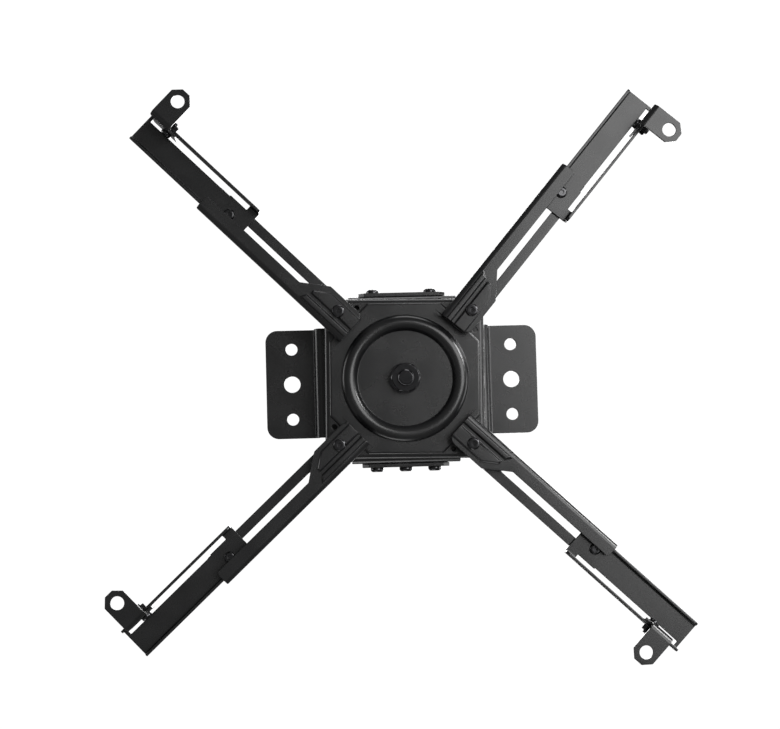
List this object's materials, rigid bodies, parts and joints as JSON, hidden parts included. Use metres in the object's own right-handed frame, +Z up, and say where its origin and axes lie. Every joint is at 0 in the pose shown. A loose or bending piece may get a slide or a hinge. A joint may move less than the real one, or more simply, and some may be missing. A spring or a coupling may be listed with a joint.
{
  "type": "projector ceiling mount",
  "caption": "Spider-type ceiling mount: hat bracket, tilt and swivel hub, and telescopic arms with sliding feet that hold a projector.",
  "frame": {"origin": "centre of the four ceiling screw holes, in the plane of the ceiling", "axes": "+Z up into the ceiling, X along the two flanges, +Y to the side with the tilt pivot screw"},
  "size_m": [0.3764, 0.3718, 0.076],
  "materials": {
    "ceiling_coat": "satin powder coat",
    "tilt_coat": "satin powder coat",
    "hub_coat": "satin powder coat",
    "arm_coat": "satin powder coat",
    "swivel_hardware": "black oxide",
    "small_hardware": "black oxide"
  },
  "bodies": {
    "ceiling": {"ceiling_bracket": "ceiling_coat"},
    "tilt": {"tilt_bracket": "tilt_coat", "tilt_pivot_screw": "small_hardware", "tilt_pivot_nut": "small_hardware", "tilt_pivot_rivet": "small_hardware", "swivel_bolt": "swivel_hardware", "swivel_spacer": "swivel_hardware", "swivel_washer": "swivel_hardware", "swivel_nut": "swivel_hardware", "front_left_lock_screw": "small_hardware", "front_left_lock_nut": "small_hardware", "front_right_lock_screw": "small_hardware", "front_right_lock_nut": "small_hardware", "rear_left_lock_screw": "small_hardware", "rear_left_lock_nut": "small_hardware", "rear_right_lock_screw": "small_hardware", "rear_right_lock_nut": "small_hardware"},
    "hub": {"spider_tray": "hub_coat", "hub_plate": "hub_coat", "rear_left_pivot_screw": "small_hardware", "rear_left_pivot_spacer": "small_hardware", "rear_left_pivot_nut": "small_hardware", "rear_right_pivot_screw": "small_hardware", "rear_right_pivot_spacer": "small_hardware", "rear_right_pivot_nut": "small_hardware", "front_left_pivot_screw": "small_hardware", "front_left_pivot_spacer": "small_hardware", "front_left_pivot_nut": "small_hardware", "front_right_pivot_screw": "small_hardware", "front_right_pivot_spacer": "small_hardware", "front_right_pivot_nut": "small_hardware"},
    "rear_left_inner": {"rear_left_inner_arm": "arm_coat"},
    "rear_left_outer": {"rear_left_outer_arm": "arm_coat", "rear_left_slide_screw": "small_hardware", "rear_left_slide_nut": "small_hardware"},
    "rear_left_foot": {"rear_left_foot": "arm_coat", "rear_left_foot_screw": "small_hardware", "rear_left_foot_nut": "small_hardware"},
    "rear_right_inner": {"rear_right_inner_arm": "arm_coat"},
    "rear_right_outer": {"rear_right_outer_arm": "arm_coat", "rear_right_slide_screw": "small_hardware", "rear_right_slide_nut": "small_hardware"},
    "rear_right_foot": {"rear_right_foot": "arm_coat", "rear_right_foot_screw": "small_hardware", "rear_right_foot_nut": "small_hardware"},
    "front_left_inner": {"front_left_inner_arm": "arm_coat"},
    "front_left_outer": {"front_left_outer_arm": "arm_coat", "front_left_slide_screw": "small_hardware", "front_left_slide_nut": "small_hardware"},
    "front_left_foot": {"front_left_foot": "arm_coat", "front_left_foot_screw": "small_hardware", "front_left_foot_nut": "small_hardware"},
    "front_right_inner": {"front_right_inner_arm": "arm_coat"},
    "front_right_outer": {"front_right_outer_arm": "arm_coat", "front_right_slide_screw": "small_hardware", "front_right_slide_nut": "small_hardware"},
    "front_right_foot": {"front_right_foot": "arm_coat", "front_right_foot_screw": "small_hardware", "front_right_foot_nut": "small_hardware"}
  },
  "joints": [
    {"name": "tilt", "type": "hinge", "parent": "ceiling", "child": "tilt", "pos_m": [0, 0, -0.0245], "axis": [0, 1, 0], "range_deg": [-12, 12]},
    {"name": "swivel", "type": "hinge", "parent": "tilt", "child": "hub", "pos_m": [0, 0, -0.047], "axis": [0, 0, 1], "continuous": true},
    {"name": "rear_left_pivot", "type": "hinge", "parent": "hub", "child": "rear_left_inner", "pos_m": [-0.04232, -0.04367, -0.05], "axis": [0, 0, 1], "range_deg": [-20, 20]},
    {"name": "rear_left_extend", "type": "slide", "parent": "rear_left_inner", "child": "rear_left_outer", "axis": [-0.7133, -0.7009, 0], "range_m": [-0.05, 0.002]},
    {"name": "rear_left_foot_slide", "type": "slide", "parent": "rear_left_outer", "child": "rear_left_foot", "axis": [-0.7133, -0.7009, 0], "range_m": [-0.055, 0]},
    {"name": "rear_right_pivot", "type": "hinge", "parent": "hub", "child": "rear_right_inner", "pos_m": [0.04367, -0.04232, -0.05], "axis": [0, 0, 1], "range_deg": [-20, 20]},
    {"name": "rear_right_extend", "type": "slide", "parent": "rear_right_inner", "child": "rear_right_outer", "axis": [0.6441, -0.7649, 0], "range_m": [-0.05, 0.002]},
    {"name": "rear_right_foot_slide", "type": "slide", "parent": "rear_right_outer", "child": "rear_right_foot", "axis": [0.6441, -0.7649, 0], "range_m": [-0.055, 0]},
    {"name": "front_left_pivot", "type": "hinge", "parent": "hub", "child": "front_left_inner", "pos_m": [-0.04367, 0.04232, -0.05], "axis": [0, 0, 1], "range_deg": [-20, 20]},
    {"name": "front_left_extend", "type": "slide", "parent": "front_left_inner", "child": "front_left_outer", "axis": [-0.7314, 0.682, 0], "range_m": [-0.05, 0.002]},
    {"name": "front_left_foot_slide", "type": "slide", "parent": "front_left_outer", "child": "front_left_foot", "axis": [-0.7314, 0.682, 0], "range_m": [-0.055, 0]},
    {"name": "front_right_pivot", "type": "hinge", "parent": "hub", "child": "front_right_inner", "pos_m": [0.04232, 0.04367, -0.05], "axis": [0, 0, 1], "range_deg": [-20, 20]},
    {"name": "front_right_extend", "type": "slide", "parent": "front_right_inner", "child": "front_right_outer", "axis": [0.7278, 0.6858, 0], "range_m": [-0.05, 0.002]},
    {"name": "front_right_foot_slide", "type": "slide", "parent": "front_right_outer", "child": "front_right_foot", "axis": [0.7278, 0.6858, 0], "range_m": [-0.055, 0]}
  ]
}
